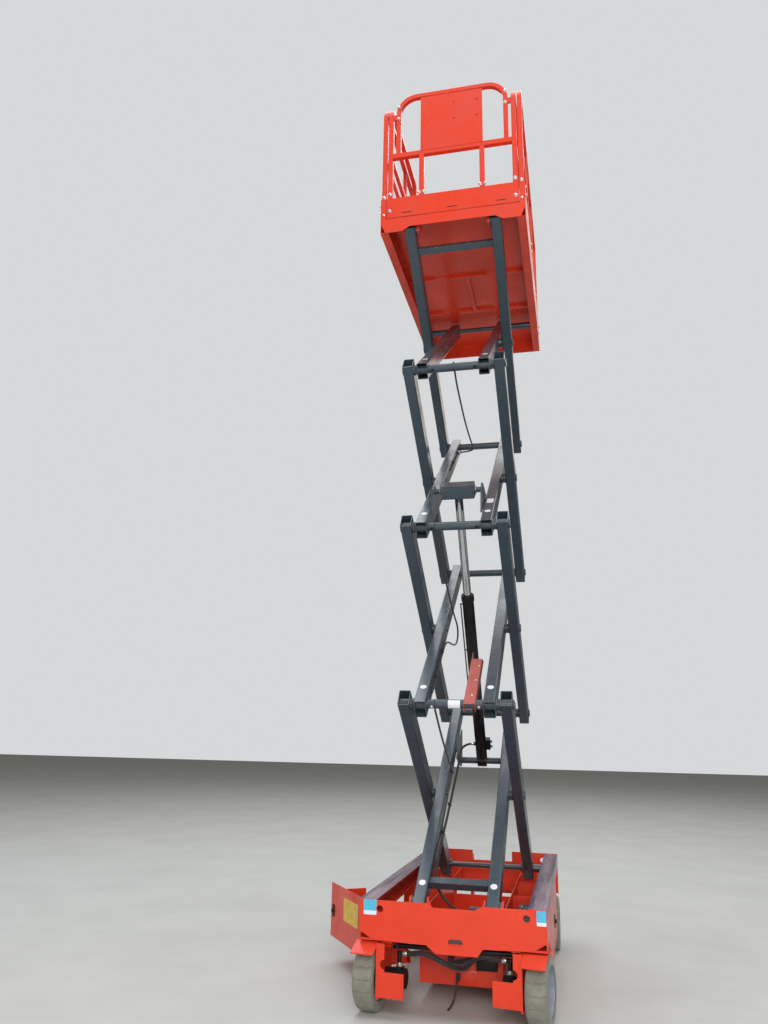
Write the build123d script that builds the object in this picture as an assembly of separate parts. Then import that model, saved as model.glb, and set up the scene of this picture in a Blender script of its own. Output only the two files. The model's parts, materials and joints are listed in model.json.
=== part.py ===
# Self-propelled scissor lift, shown part raised, built as separate steel sub-assemblies.
# Millimetres. +X is to the right and +Y to the back, seen from the steered end; +Z is up.
# Sizes are taken from the floor below the middle between the near arm pivots. save() then moves
# each node, so that the shared origin is on the floor at the middle of the whole machine.
import os
from math import atan2, cos, degrees, hypot, pi, radians, sin, tan
from build123d import *

os.makedirs("parts", exist_ok=True)

# Scissor stack
levels = 4
rest_angle = 35.5
arm_span = 2090.0
arm_width = 78.0
arm_depth = 120.0
arm_wall = 5.0
arm_end = 65.0
top_arm_end = 35.0
inner_face = 266.0
arm_gap = 31.0
pin_r = 20.0
pin_clearance = 0.5
boss_r = 38.0
spacer = 13.5
shaft_r = 30.0
cap_r = 30.0
cap_t = 8.0
near_pivot_z = 582.0
brace_size = 50.0
brace_at = 175.0

# Lift cylinder: place of its two pivots along and square to the arms that carry them
barrel_along, barrel_off = 1700.0, -200.0
head_along, head_off = 330.0, 150.0
barrel_r = 44.0
rod_r = 30.0
barrel_length = 1488.0
rod_length = 1440.0
barrel_wall = 8.0
eye_r = 46.0
eye_width = 70.0
eye_pin_r = 25.0
head_beam = (240.0, 110.0, 100.0)
gusset_t = 12.0
gusset_inset = 6.0
port_r = 14.0
hose_port_x = -58.0
hose_port_along = 160.0

# Chassis
chassis_half = 555.0
plate_t = 6.0
front_y = -235.0
front_plate_t = 8.0
rear_y = 2170.0
ladder_depth = 90.0
rail_width = 105.0
rail_height = 106.0
king_plate_z = 408.0
king_plate_t = 12.0
tub_half = 262.0
tub_bottom = 100.0
tub_top = 500.0
tub_front_y = 175.0
tub_back_y = 1600.0
skirt_bottom = 165.0
arch_end_y = 150.0
arch_post = 12.0

# Wheels and steering
tyre_r = 190.5
tyre_width = 127.0
tyre_bevel = 8.0
rim_r = 142.0
track_half = 505.0
front_axle_y = -110.0
wheelbase = 1855.0
king_x = 400.0
king_r = 25.0
steer_rest = -7.0
steer_arm = 145.0
fender_reach = 208.0
steer_rod_z = 330.0
motor_r = 55.0
elbow_r = 13.0
elbow_z = 326.0

# Swing-out trays
tray_y0 = 175.0
tray_length = 890.0
tray_depth = 258.0
tray_bottom = 165.0
tray_top = 478.0
tray_open = 35.4
hinge_inset = 7.0
tray_gap = 6.0
tray_box_short = 40.0
hinge_knuckle_r = 7.0
hinge_knuckle = 40.0
tray_hinges = (215.0, 400.0)
seat_gap = 0.3
guard_hinge_z = 150.0
guard_inset = 26.0
guard_pin_r = 7.0

# Platform
deck_half = 565.0
deck_front_y = -80.0
deck_back_y = 2170.0
deck_rise = 84.0
frame_drop = 52.0
side_flange = 65.0
deck_t = 3.0
toe_height = 172.0
rail_half = 19.0
rail_seat = 1.0
rail_corner = 5.0
rail_top = 1045.0
rail_mid = 574.0
mid_half = 15.0
gate_post = 120.0
gate_half = 16.0
gate_gap = 6.0
gate_hinge_r = 8.0
gate_hinges = (250.0, 780.0)
ext_length = 1010.0
ext_gap = 0.3
ext_side_t = 4.0
ext_side_gap = 4.0
web_t = 5.0

# Worked out from the sizes above
post_x = deck_half - web_t - rail_seat - rail_half
ext_half = post_x - rail_half - ext_side_gap
ext_post_x = ext_half - ext_side_t - rail_seat - rail_half
outer_face = inner_face + arm_gap + arm_width
outer_inside = inner_face + arm_gap
inner_inside = inner_face - arm_width
theta = radians(rest_angle)
level_rise = arm_span * sin(theta)
level_reach = arm_span * cos(theta)
top_pivot_z = near_pivot_z + levels * level_rise
deck_z = top_pivot_z + deck_rise
rail_z0 = near_pivot_z - rail_height / 2
rail_z1 = near_pivot_z + rail_height / 2
rear_axle_y = front_axle_y + wheelbase
wheel_in = track_half - tyre_width / 2
wheel_out = track_half + tyre_width / 2

# Outer limits of the whole machine as it stands, and their middle to the nearest millimetre
steer = radians(steer_rest)
swing = radians(tray_open)
x_low = hinge_inset - chassis_half - hinge_inset * cos(swing) - tray_length * sin(swing)
x_high = king_x + (wheel_out - king_x) * cos(steer) - (tyre_r - tyre_bevel) * sin(steer)
y_low = front_axle_y + (wheel_out - king_x) * sin(steer) - fender_reach * cos(steer)
y_high = rear_y + ladder_depth
x_mid = round((x_low + x_high) / 2)
y_mid = round((y_low + y_high) / 2)


def block(x0, x1, y0, y1, z0, z1):
    """A box between two corners."""
    size = Box(abs(x1 - x0), abs(y1 - y0), abs(z1 - z0))
    return Pos((x0 + x1) / 2, (y0 + y1) / 2, (z0 + z1) / 2) * size


def bar_x(r, x0, x1, y=0.0, z=0.0):
    """A round bar along X."""
    return Pos((x0 + x1) / 2, y, z) * Rot(0, 90, 0) * Cylinder(r, abs(x1 - x0))


def bar_y(r, y0, y1, x=0.0, z=0.0):
    """A round bar along Y."""
    return Pos(x, (y0 + y1) / 2, z) * Rot(90, 0, 0) * Cylinder(r, abs(y1 - y0))


def bar_z(r, z0, z1, x=0.0, y=0.0):
    """A round bar along Z."""
    return Pos(x, y, (z0 + z1) / 2) * Cylinder(r, abs(z1 - z0))


def both(shape):
    """The shape and its mirror image across the machine's centreline."""
    return [shape, mirror(shape, Plane.YZ)]


def plate_yz(points, x0, x1):
    """A flat plate square to X, from its outline in Y and Z."""
    face = Plane.YZ * make_face(Polyline(*points, close=True))
    return Pos(x0, 0, 0) * extrude(face, x1 - x0, dir=(1, 0, 0))


def plate_xz(points, y0, y1):
    """A flat plate square to Y, from its outline in X and Z."""
    lines = [(x, 0, z) for x, z in points]
    face = make_face(Polyline(*lines, close=True))
    return Pos(0, y0, 0) * extrude(face, y1 - y0, dir=(0, 1, 0))


def save(name, *shapes):
    """Write one node from its solids, moved to the shared origin."""
    home = Pos(-x_mid, -y_mid, 0)
    solids = []
    for shape in shapes:
        items = shape if isinstance(shape, (list, tuple)) else [shape]
        for item in items:
            solids.extend(home * solid for solid in item.solids())
    body = solids[0] if len(solids) == 1 else Compound(children=solids)
    export_step(body, "parts/" + name + ".step")


def fuse(*shapes):
    """One solid from overlapping or touching shapes."""
    whole = Part()
    for shape in shapes:
        for item in shape if isinstance(shape, (list, tuple)) else [shape]:
            whole += item
    return whole


def inner_place(level):
    """Where a level's inner arms stand: up and back from their near pivot."""
    return Pos(0, 0, near_pivot_z + (level - 1) * level_rise) * Rot(rest_angle, 0, 0)


def outer_place(level):
    """Where a level's outer arms stand: down and back from their near pivot."""
    return Pos(0, 0, near_pivot_z + level * level_rise) * Rot(-rest_angle, 0, 0)


def arm(x0, boss_in, boss_out, near_end=arm_end, far_end=arm_end):
    """One rectangular tube with open ends and three welded pivot bosses, along +Y."""
    x1 = x0 + arm_width
    tube = block(x0, x1, -near_end, arm_span + far_end, -arm_depth / 2, arm_depth / 2)
    bore = block(x0 + arm_wall, x1 - arm_wall, -near_end - 1, arm_span + far_end + 1,
                 -arm_depth / 2 + arm_wall, arm_depth / 2 - arm_wall)
    tube -= bore
    edges = tube.edges().filter_by(Axis.Y)
    tube = fillet(edges.sort_by(lambda e: -hypot(e.center().X - (x0 + x1) / 2, e.center().Z))[:4], 8)
    for at in (0, arm_span / 2, arm_span):
        tube += bar_x(boss_r, x0 - boss_in, x1 + boss_out, at)
        tube -= bar_x(pin_r + pin_clearance, x0 - boss_in - 1, x1 + boss_out + 1, at)
    return tube


def inner_arms(level):
    """A pair of inner arms with the braces and cylinder plates of their level."""
    far_end = top_arm_end if level == levels else arm_end
    shape = both(arm(inner_inside, 0, spacer, far_end=far_end))
    extra = []
    if level == 1:
        half = brace_size / 2
        brace = block(-inner_inside, inner_inside, brace_at - half, brace_at + half, -half, half)
        inside = half - 4
        brace -= block(-inner_inside - 1, inner_inside + 1, brace_at - inside, brace_at + inside,
                       -inside, inside)
        extra.append(brace)
        extra += both(cylinder_plate(barrel_along, barrel_off))
        pin_x = inner_inside - gusset_inset + 3
        extra.append(bar_x(eye_pin_r, -pin_x, pin_x, barrel_along, barrel_off))
    if level == 3:
        extra += both(cylinder_plate(head_along, head_off))
    return fuse(shape, extra)


def cylinder_plate(along, off):
    """A three-cornered plate on a pad on an arm's inner face, for one end of the cylinder."""
    side = 1 if off > 0 else -1
    foot = side * (arm_depth / 2 - 20)
    reach = 190.0
    tip0, tip1 = off + side * 30, off + side * 45
    points = [(along - reach, foot), (along + reach, foot), (along + 45, tip0), (along + 20, tip1),
              (along - 20, tip1), (along - 45, tip0)]
    x1 = inner_inside - gusset_inset
    pad = block(x1, inner_inside, along - 110, along + 110, side * 45, side * 5)
    return fuse(plate_yz(points, x1 - gusset_t, x1), pad)


def pin_pair(at, x0, x1):
    """Pins on both sides, from inside the inner arm to a cap outside the outer arm."""
    pin = bar_x(pin_r, x0, x1, at) + bar_x(cap_r, x1, x1 + cap_t, at)
    return both(pin)


def cross_shafts(level):
    """The round tubes between a level's inner arms and the pins that pass on through the outer arms."""
    end = outer_face + 1.5
    shafts = pin_pair(arm_span / 2, inner_inside - cap_t, end)
    if level > 1:
        tube = bar_x(shaft_r, -inner_inside, inner_inside, 0)
        shafts.append(fuse(tube, pin_pair(0, inner_inside - 1, end)))
    if level < levels:
        tube = bar_x(shaft_r, -inner_inside, inner_inside, arm_span)
        shafts.append(fuse(tube, pin_pair(arm_span, inner_inside - 1, end)))
    return shafts


def slide_shaft(x0, block_x0, block_x1):
    """A shaft through the arm ends with a square block at each side for its track."""
    reach = 55.0
    half = rail_height / 2 - plate_t - 5
    shaft = bar_x(pin_r, -block_x1, block_x1, 0)
    blocks = both(block(block_x0, block_x1, -reach, reach, -half, half))
    collar = both(bar_x(shaft_r, x0, block_x0, 0))
    return fuse(shaft, blocks, collar)


def make_arms():
    for level in range(1, levels + 1):
        save(f"inner_arms_{level}", inner_place(level) * inner_arms(level))
        near_end = top_arm_end if level == levels else arm_end
        outer = both(arm(outer_inside, spacer, 0, near_end=near_end))
        if level == levels:
            half = brace_size / 2
            outer += [block(-outer_inside, outer_inside, brace_at - half, brace_at + half, -half, half)]
            outer = [fuse(outer)]
        save(f"outer_arms_{level}", [outer_place(level) * piece for piece in outer])
        save(f"cross_shafts_{level}", [inner_place(level) * piece for piece in cross_shafts(level)])


make_arms()


def lift_cylinder():
    """The barrel with its foot eye, the rod, and the beam that carries the rod's head."""
    c, s = cos(theta), sin(theta)
    foot_y = barrel_along * c - barrel_off * s
    foot_z = near_pivot_z + barrel_along * s + barrel_off * c
    head_y = head_along * c - head_off * s
    head_z = near_pivot_z + 2 * level_rise + head_along * s + head_off * c
    length = hypot(head_y - foot_y, head_z - foot_z)
    lean = degrees(atan2(head_z - foot_z, head_y - foot_y)) - 90
    place = Pos(0, foot_y, foot_z) * Rot(lean, 0, 0)

    barrel = bar_z(barrel_r, eye_r - 8, barrel_length)
    barrel -= bar_z(barrel_r - barrel_wall, eye_r + 12, barrel_length - 40)
    barrel -= bar_z(rod_r + 0.5, barrel_length - 41, barrel_length + 1)
    gland = bar_z(barrel_r + 5, barrel_length - 45, barrel_length - 5)
    barrel += gland - bar_z(barrel_r - 1, 0, barrel_length)
    barrel += bar_x(eye_r, -eye_width / 2, eye_width / 2)
    barrel -= bar_x(eye_pin_r + pin_clearance, -eye_width, eye_width)
    barrel += bar_x(port_r, hose_port_x, 4 - barrel_r, 0, hose_port_along)
    barrel += block(barrel_r - 4, barrel_r + 34, -22, 22, 120, 210)
    pipe_x = -barrel_r - 14
    barrel += bar_z(5, 620, barrel_length - 68, pipe_x)
    for along in (625, 1020, barrel_length - 73):
        barrel += bar_x(5, pipe_x, 4 - barrel_r, 0, along)
    save("lift_barrel", place * barrel)

    width, depth, height = head_beam
    rod_top = length - height / 2
    rod = bar_z(rod_r, rod_top - rod_length, rod_top)
    rod += bar_z(barrel_r - barrel_wall - 0.5, rod_top - rod_length, rod_top - rod_length + 45)
    save("lift_rod", place * rod)

    wall = 8.0
    beam = block(-width / 2, width / 2, -depth / 2, depth / 2, length - height / 2, length + height / 2)
    beam -= block(-width / 2 + wall, width / 2 - wall, -depth / 2 + wall, depth / 2 - wall,
                  length - height / 2 + wall, length + height / 2 - wall)
    pins = both(bar_x(pin_r, width / 2, inner_inside - gusset_inset - gusset_t - 1, 0, length))
    save("rod_head_beam", place * fuse(beam, pins))


lift_cylinder()


def safety_prop():
    """The red channel that blocks the stack for service, stowed along a level two arm."""
    length, width, depth, wall = 620.0, 76.0, 62.0, 4.0
    x0 = 57.0
    x1 = x0 + width
    body = block(x0, x1, -40, length, -depth / 2, depth / 2)
    body -= block(x0 + wall, x1 - wall, -41, length + 1, -depth / 2 - 1, depth / 2 - wall)
    edge = depth / 2 + 1
    slope = plate_yz([(length - 90, edge), (length + 1, edge), (length + 1, -edge), (length - 20, -edge)],
                     x0 + wall + 1, x1 + 1)
    body -= slope
    body -= bar_x(shaft_r + 0.3, x0 - 1, x1 + 1)
    body += bar_x(shaft_r + 10, x0, x0 + wall) - bar_x(shaft_r + 0.3, x0 - 1, x1 + 1)
    save("safety_prop", inner_place(2) * body)


safety_prop()


def chassis():
    """The welded base: each plate of the rails, tub, king pin bridge and axles is one solid."""
    half = chassis_half
    t = plate_t
    front_in = front_y + front_plate_t
    rail = [block(half - t, half, front_in, rear_y - t, rail_z0, rail_z1)]
    rail += [block(half - rail_width, half - t, front_in, rear_y - t, z, z + t)
             for z in (rail_z0, rail_z1 - t)]
    post_y1 = arch_end_y + arch_post
    arch_side = block(half - t, half, front_in, post_y1, king_plate_z, rail_z0)
    post = block(half - t, half, arch_end_y, post_y1, tub_bottom, king_plate_z)
    king_top = king_plate_z + king_plate_t
    king = block(0, half - t, front_in, post_y1, king_plate_z, king_top)
    king += block(0, tub_half, post_y1, tub_front_y + t, king_plate_z, king_top)
    king -= bar_z(king_r + pin_clearance, king_plate_z - 1, king_plate_z + 20, king_x, front_axle_y)
    boss = bar_z(king_r + 18, king_top, king_plate_z + 50, king_x, front_axle_y)
    boss -= bar_z(king_r + pin_clearance, king_plate_z - 1, king_plate_z + 60, king_x, front_axle_y)
    tub_in = tub_half - 8
    wall = [block(tub_in, tub_half, tub_front_y, rear_y - t, king_plate_z, tub_top),
            block(tub_in, tub_half, tub_front_y, tub_back_y, tub_bottom, king_plate_z)]
    floor = block(-tub_in, tub_in, tub_front_y, tub_back_y, tub_bottom, tub_bottom + t)
    tub_front = block(-tub_in, tub_in, tub_front_y, tub_front_y + t, tub_bottom + t, king_plate_z)
    tub_back = block(-tub_in, tub_in, tub_back_y - t, tub_back_y, tub_bottom + t, king_plate_z - 30)
    lug_top = near_pivot_z + 42
    lug_line = [(-70, king_top), (70, king_top), (36, near_pivot_z + 20), (20, lug_top),
                (-20, lug_top), (-36, near_pivot_z + 20)]
    lugs = [plate_yz(lug_line, x0, x0 + gusset_t)
            for x0 in (inner_inside - 6 - gusset_t, inner_face + spacer + 1.5)]
    pin_x1 = inner_face + spacer + 1.5 + gusset_t
    pin = bar_x(pin_r, inner_inside - 6 - gusset_t - cap_t, pin_x1, 0, near_pivot_z)
    skirt_y0 = tray_y0 + tray_length + tray_gap
    wheel_gap = tyre_r + 30
    skirt = block(half - t, half, skirt_y0, rear_axle_y - wheel_gap, skirt_bottom, rail_z0)
    cross_top = near_pivot_z - 102
    skirt_y1 = rear_axle_y - wheel_gap
    skirt_frame = [block(tub_half, half - t, y, y + t, skirt_bottom, cross_top)
                   for y in (skirt_y0, skirt_y1 - t)]
    skirt_frame += [block(half - rail_width, half - t, y, y + t, cross_top, rail_z0)
                    for y in (skirt_y0, skirt_y1 - t)]
    axle_in = wheel_in - 25
    hub_x = axle_in - 14
    hub_y0, hub_y1 = rear_axle_y - 80, rear_axle_y + 80
    hub = block(hub_x, axle_in, hub_y0, hub_y1, 110, rail_z0)
    hub_web = [block(tub_half, hub_x, y, y + t, 330, cross_top) for y in (hub_y0, hub_y1 - t)]
    hub_web.append(block(axle_in, half - rail_width + t, hub_y0, hub_y1, rail_z0 - t, rail_z0))
    stub = bar_x(30, axle_in, track_half + 10, rear_axle_y, tyre_r)
    ear_z0, ear_z1 = guard_hinge_z - 14, guard_hinge_z + 22
    ears = [block(half - 45, half - t, arch_end_y, post_y1, ear_z0, ear_z1),
            block(half - 45, half - t, skirt_y1 - t, skirt_y1, ear_z0, ear_z1)]
    axis_x = half - hinge_inset
    knuckles = []
    for z in tray_hinges:
        for z0 in (z - hinge_knuckle, z + hinge_knuckle + seat_gap):
            z1 = z0 + hinge_knuckle - seat_gap
            knuckle = fuse(bar_z(hinge_knuckle_r, z0, z1, axis_x, tray_y0),
                           block(axis_x - hinge_knuckle_r, axis_x, post_y1 - 1, tray_y0, z0, z1),
                           block(axis_x - hinge_knuckle_r, half - t, arch_end_y, post_y1, z0, z1))
            knuckles.append(knuckle - post)
    walls = [plate for piece in wall for plate in both(piece)]
    bridge = fuse(both(king)) - fuse(walls)
    pin_hole = bar_y(guard_pin_r + pin_clearance, arch_end_y - 1, skirt_y1 + 1,
                     half - guard_inset, guard_hinge_z)
    sides = [boss, fuse(lugs, pin), arch_side, post, skirt, hub, stub]
    sides += [*rail, *skirt_frame, *hub_web, *knuckles]
    sides += [ear - fuse(pin_hole, skirt_frame) for ear in ears]
    plates = [plate for piece in sides for plate in both(piece)]
    save("chassis_frame", walls, floor, tub_front, tub_back, bridge, plates)

    outline = [(-half, 630), (-half, 459), (-470, 412), (-148, 405), (-92, 362), (154, 362), (186, 405),
               (470, 412), (half, 459), (half, 630), (180, 630), (135, 608), (-110, 608), (-128, 630)]
    front = plate_xz(outline, front_y, front_y + front_plate_t)
    slot = block(0, 50, front_y - 1, front_y + 20, 410, 446)
    ends = [bar_y(18, front_y - 1, front_y + 20, x, 428) for x in (0, 50)]
    front -= fuse(slot, ends)
    for x in (-430, 440):
        front -= bar_y(20, front_y - 1, front_y + 20, x, 583)
    save("front_plate", front)

    rear = block(-half, half, rear_y - t, rear_y, 330, rail_z1 + 4)
    rear -= block(-170, 170, rear_y - t - 1, rear_y + 1, 560, rail_z1 + 5)
    for x in (-430, 430):
        rear -= bar_y(20, rear_y - 20, rear_y + 20, x, 583)
    save("rear_plate", rear)
    ladder()


def ladder():
    """Two steps and their side bars behind the rear plate."""
    y1 = rear_y + ladder_depth
    side = block(170, 190, rear_y, y1, 250, 600) - block(160, 200, rear_y + 20, y1 - 20, 270, 580)
    sides = both(side)
    steps = [block(-170, 170, y1 - 60, y1, z, z + 20) for z in (300, 520)]
    save("ladder", fuse(sides, steps))


chassis()


def valve_block():
    """The lowering valve's block on the king pin plate, behind the front plate's notch."""
    save("valve_block", block(62, 127, 112, 178, king_plate_z + king_plate_t, 555))


valve_block()


def yoke(side):
    """The steering yoke that carries a front wheel and its drive motor, built at the right side."""
    kx, ky = king_x, front_axle_y
    inner = wheel_in
    x_out = wheel_out
    top = king_plate_z - 9
    t = 10.0
    plate = block(inner - 26, inner - 14, ky - 140, ky + 90, 100, top)
    plate -= bar_x(31, inner - 40, inner, ky, tyre_r)
    cap = block(kx - 45, x_out, ky - 80, ky + 60, top - t, top)
    lip = ky - fender_reach
    fender = plate_yz([(ky - 80, top - t), (ky - 80, top), (ky - 110, top), (lip, top - 50),
                       (lip + 2, top - 56), (ky - 110, top - t)], inner - 14, x_out)
    bracket_y = ky - 140
    bracket = block(kx - 145, inner - 14, bracket_y - 8, bracket_y, 115, top)
    bracket -= block(kx - 150, inner - 66, bracket_y - 9, bracket_y + 1, 250, top + 1)
    bracket -= bar_y(26, bracket_y - 9, bracket_y + 1, inner - 66, 290)
    king = bar_z(king_r, top, king_plate_z + 66, kx, ky)
    king += bar_z(king_r + 14, king_plate_z + 52, king_plate_z + 66, kx, ky)
    arm_z0, arm_z1 = steer_rod_z + 26, steer_rod_z + 36
    arm_plate = block(kx - 20, kx + 20, ky - 20, ky + steer_arm, arm_z0, arm_z1)
    arm_plate += bar_z(20, arm_z0, arm_z1, kx, ky + steer_arm)
    arm_web = block(kx - 20, inner - 26, ky - 10, ky + 60, arm_z1, top)
    whole = fuse(plate, cap, fender, bracket, king, arm_plate, arm_web)
    motor = bar_x(motor_r, kx - 110, inner - 26, ky, tyre_r)
    motor += bar_x(30, inner - 26, track_half + 10, ky, tyre_r)
    fitting_x = kx - 70
    motor += block(fitting_x - 20, fitting_x + 20, ky - 30, ky + 30, tyre_r - 30, tyre_r + 62)
    motor += bar_z(elbow_r, tyre_r + 60, elbow_z, fitting_x, ky)
    motor += bar_x(elbow_r, fitting_x - 28, fitting_x + elbow_r, ky, elbow_z)
    if side < 0:
        whole = mirror(whole, Plane.YZ)
        motor = mirror(motor, Plane.YZ)
    turn = Pos(side * kx, ky, 0) * Rot(0, 0, steer_rest) * Pos(-side * kx, -ky, 0)
    name = "right" if side > 0 else "left"
    save(f"{name}_yoke", turn * whole)
    save(f"{name}_drive_motor", turn * motor)
    return turn


def wheel(name, side, axle_y, turn=None):
    """A solid tyre and the dished rim inside it."""
    x_in, x_out = wheel_in, wheel_out
    tyre = bar_x(tyre_r, x_in, x_out, axle_y, tyre_r)
    tyre = chamfer(tyre.edges().filter_by(GeomType.CIRCLE), tyre_bevel)
    tyre -= bar_x(rim_r, x_in - 1, x_out + 1, axle_y, tyre_r)
    rim = bar_x(rim_r, x_in + 4, x_out - 4, axle_y, tyre_r) - bar_x(rim_r - 9, x_in, x_out, axle_y, tyre_r)
    rim += bar_x(rim_r - 5, track_half - 14, track_half + 2, axle_y, tyre_r)
    rim += bar_x(62, track_half - 30, track_half + 22, axle_y, tyre_r)
    rim -= bar_x(30.5, x_in - 5, track_half + 11, axle_y, tyre_r)
    if side < 0:
        tyre = mirror(tyre, Plane.YZ)
        rim = mirror(rim, Plane.YZ)
    if turn is not None:
        tyre = turn * tyre
        rim = turn * rim
    save(f"{name}_tyre", tyre)
    save(f"{name}_rim", rim)


for side, name in ((-1, "left"), (1, "right")):
    turned = yoke(side)
    wheel(f"front_{name}", side, front_axle_y, turned)
    wheel(f"rear_{name}", side, rear_axle_y)


def steering():
    """The double-ended steering cylinder under the king pin plate and its rod."""
    y = front_axle_y + steer_arm * cos(steer)
    z = steer_rod_z
    shift = -steer_arm * sin(steer)
    body = bar_x(30, -120, 120, y, z)
    body += block(-60, 60, y - 20, y + 20, z + 20, king_plate_z)
    body -= bar_x(14.5, -121, 121, y, z)
    save("steering_cylinder", body)
    rod = bar_x(14, -king_x + shift, king_x + shift, y, z)
    for x in (-king_x + shift, king_x + shift):
        rod += bar_z(24, z - 15, z + 15, x, y)
        rod += bar_z(12, z + 15, z + 25.5, x, y)
    save("steering_rod", rod)


steering()


def trays():
    """The swing-out trays with their door panels, and what they carry."""
    half = chassis_half
    t = plate_t
    y1 = tray_y0 + tray_length
    x_in = half - tray_depth
    door = block(half - t, half, tray_y0, y1, tray_bottom, rail_z0 - 5)
    y_start, y_end = tray_y0 + 2 * t, y1 - tray_box_short
    floor = block(x_in, half - t, y_start, y_end, tray_bottom, tray_bottom + t)
    ends = [block(x_in + 30, half - t, y_start, y_start + t, tray_bottom, tray_top - 60),
            block(x_in, half - t, y_end - t, y_end, tray_bottom, tray_top)]
    lip = block(x_in, x_in + t, y_start, y_end, tray_bottom, tray_bottom + 70)
    axis_x = half - hinge_inset
    for z in tray_hinges:
        door -= bar_z(hinge_knuckle_r + 0.7, z - hinge_knuckle - 3, z, axis_x, tray_y0)
        door -= bar_z(hinge_knuckle_r + 0.7, z + hinge_knuckle, z + 2 * hinge_knuckle + 3, axis_x, tray_y0)
    knuckles = [bar_z(hinge_knuckle_r, z, z + hinge_knuckle, axis_x, tray_y0) for z in tray_hinges]
    tray = fuse(door, floor, ends, lip, knuckles)
    batteries = [block(x_in + 20, half - 25, y, y + 180, tray_bottom + t, tray_bottom + 275)
                 for y in (tray_y0 + 40, tray_y0 + 235, tray_y0 + 430, tray_y0 + 625)]
    save("right_tray", tray)
    save("battery_pack", batteries)
    turn = Pos(-axis_x, tray_y0, 0) * Rot(0, 0, tray_open) * Pos(axis_x, -tray_y0, 0)
    tank = block(x_in + 20, half - 30, tray_y0 + 60, tray_y0 + 360, tray_bottom + t, tray_bottom + 250)
    pump = bar_y(52, tray_y0 + 420, tray_y0 + 640, half - 110, tray_bottom + t + 52)
    charger = block(x_in + 30, half - 50, y1 - 190, y1 - 60, tray_bottom + t, tray_bottom + 150)
    save("left_tray", turn * mirror(tray, Plane.YZ))
    save("hydraulic_unit", [turn * mirror(piece, Plane.YZ) for piece in (tank, pump, charger)])


trays()


def pothole_guards():
    """The bars that hang below the trays while the platform is raised."""
    half = chassis_half
    x = half - guard_inset
    y1 = rear_axle_y - tyre_r - 30
    guard = block(x - 4, x + 4, arch_end_y + 20, y1 - 14, guard_hinge_z - 62, guard_hinge_z)
    guard += bar_y(guard_pin_r, arch_end_y, y1, x, guard_hinge_z)
    save("right_pothole_guard", guard)
    save("left_pothole_guard", mirror(guard, Plane.YZ))


pothole_guards()


def slides():
    """The two shafts whose blocks run in the chassis and platform tracks."""
    track_in = chassis_half - rail_width
    shaft = slide_shaft(outer_face + 2, track_in + 5, chassis_half - plate_t - 5)
    save("lower_slide_shaft", Pos(0, level_reach, near_pivot_z) * shaft)
    shaft = slide_shaft(inner_face + spacer + 2, deck_half - side_flange + 3, deck_half - web_t - 5)
    save("upper_slide_shaft", Pos(0, level_reach, top_pivot_z) * shaft)


slides()


def platform():
    """The deck with its side tracks, fascia and toe boards."""
    half = deck_half
    low = top_pivot_z - frame_drop
    y0, y1 = deck_front_y, deck_back_y
    top = deck_z
    web = block(half - web_t, half, y0 + 5, y1, low, top + toe_height)
    flange = block(half - side_flange, half - web_t, y0 + 5, y1, low, low + 5)
    track_top = top_pivot_z + frame_drop - 5
    upper = block(half - side_flange, half - web_t, y0 + 5, y1, track_top, track_top + 6)
    deck = block(0, half - web_t, y0 + 5, y1, top - deck_t, top)
    ribs = [block(0, 15, 865, 1435, top - deck_t - 26, top - deck_t)]
    for y in (835, 1435):
        for x0, x1, drop in ((0, 165, 26), (165, 295, 6), (295, half - side_flange, 26)):
            ribs.append(block(x0, x1, y, y + 30, top - deck_t - drop, top - deck_t))
    rear_beam = block(0, half - web_t, y1 - 5, y1, low, top)
    lugs = []
    for x0 in (outer_inside - spacer - 1.5 - gusset_t, outer_face + 2):
        line = [(-66, top - deck_t), (-34, top_pivot_z - 36), (34, top_pivot_z - 36), (100, top - deck_t)]
        lugs.append(plate_yz(line, x0, x0 + gusset_t))
    pin_x0 = outer_inside - spacer - 1.5 - gusset_t - cap_t
    pin = bar_x(pin_r, pin_x0, outer_face + 2 + gusset_t + cap_t, 0, top_pivot_z)
    side = fuse(web, flange, upper, deck, ribs, rear_beam, lugs, pin)
    save("platform_deck", fuse(both(side)))

    rise = top + toe_height
    ext = ext_half + 5
    pocket = deck_z - 12
    outline = [(-half, rise), (-half, low + 88), (-half + 38, low), (-390, low), (-332, low + 37),
               (332, low + 37), (390, low), (half - 38, low), (half, low + 88), (half, rise),
               (ext, rise), (ext, pocket), (-ext, pocket), (-ext, rise)]
    save("platform_fascia", plate_xz(outline, y0, y0 + 5))
    guard_rails()


def square_tube(corners, radius, half, close=False):
    """A bent tube with a square section, along straight runs joined by bends."""
    path = FilletPolyline(*corners, radius=radius, close=close)
    plane = Plane(origin=path @ 0, x_dir=(0, 1, 0), z_dir=path % 0)
    return sweep(plane * RectangleRounded(2 * half, 2 * half, rail_corner), path)


def rail_loop(x, ya, yb, z0, z1, radius):
    """A bent tube: up a front post, back along the top, and down the rear post."""
    path = FilletPolyline((x, ya, z0), (x, ya, z1), (x, yb, z1), (x, yb, z0), radius=radius)
    plane = Plane(origin=(x, ya, z0), x_dir=(1, 0, 0), z_dir=(0, 0, 1))
    return sweep(plane * RectangleRounded(2 * rail_half, 2 * rail_half, rail_corner), path)


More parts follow.
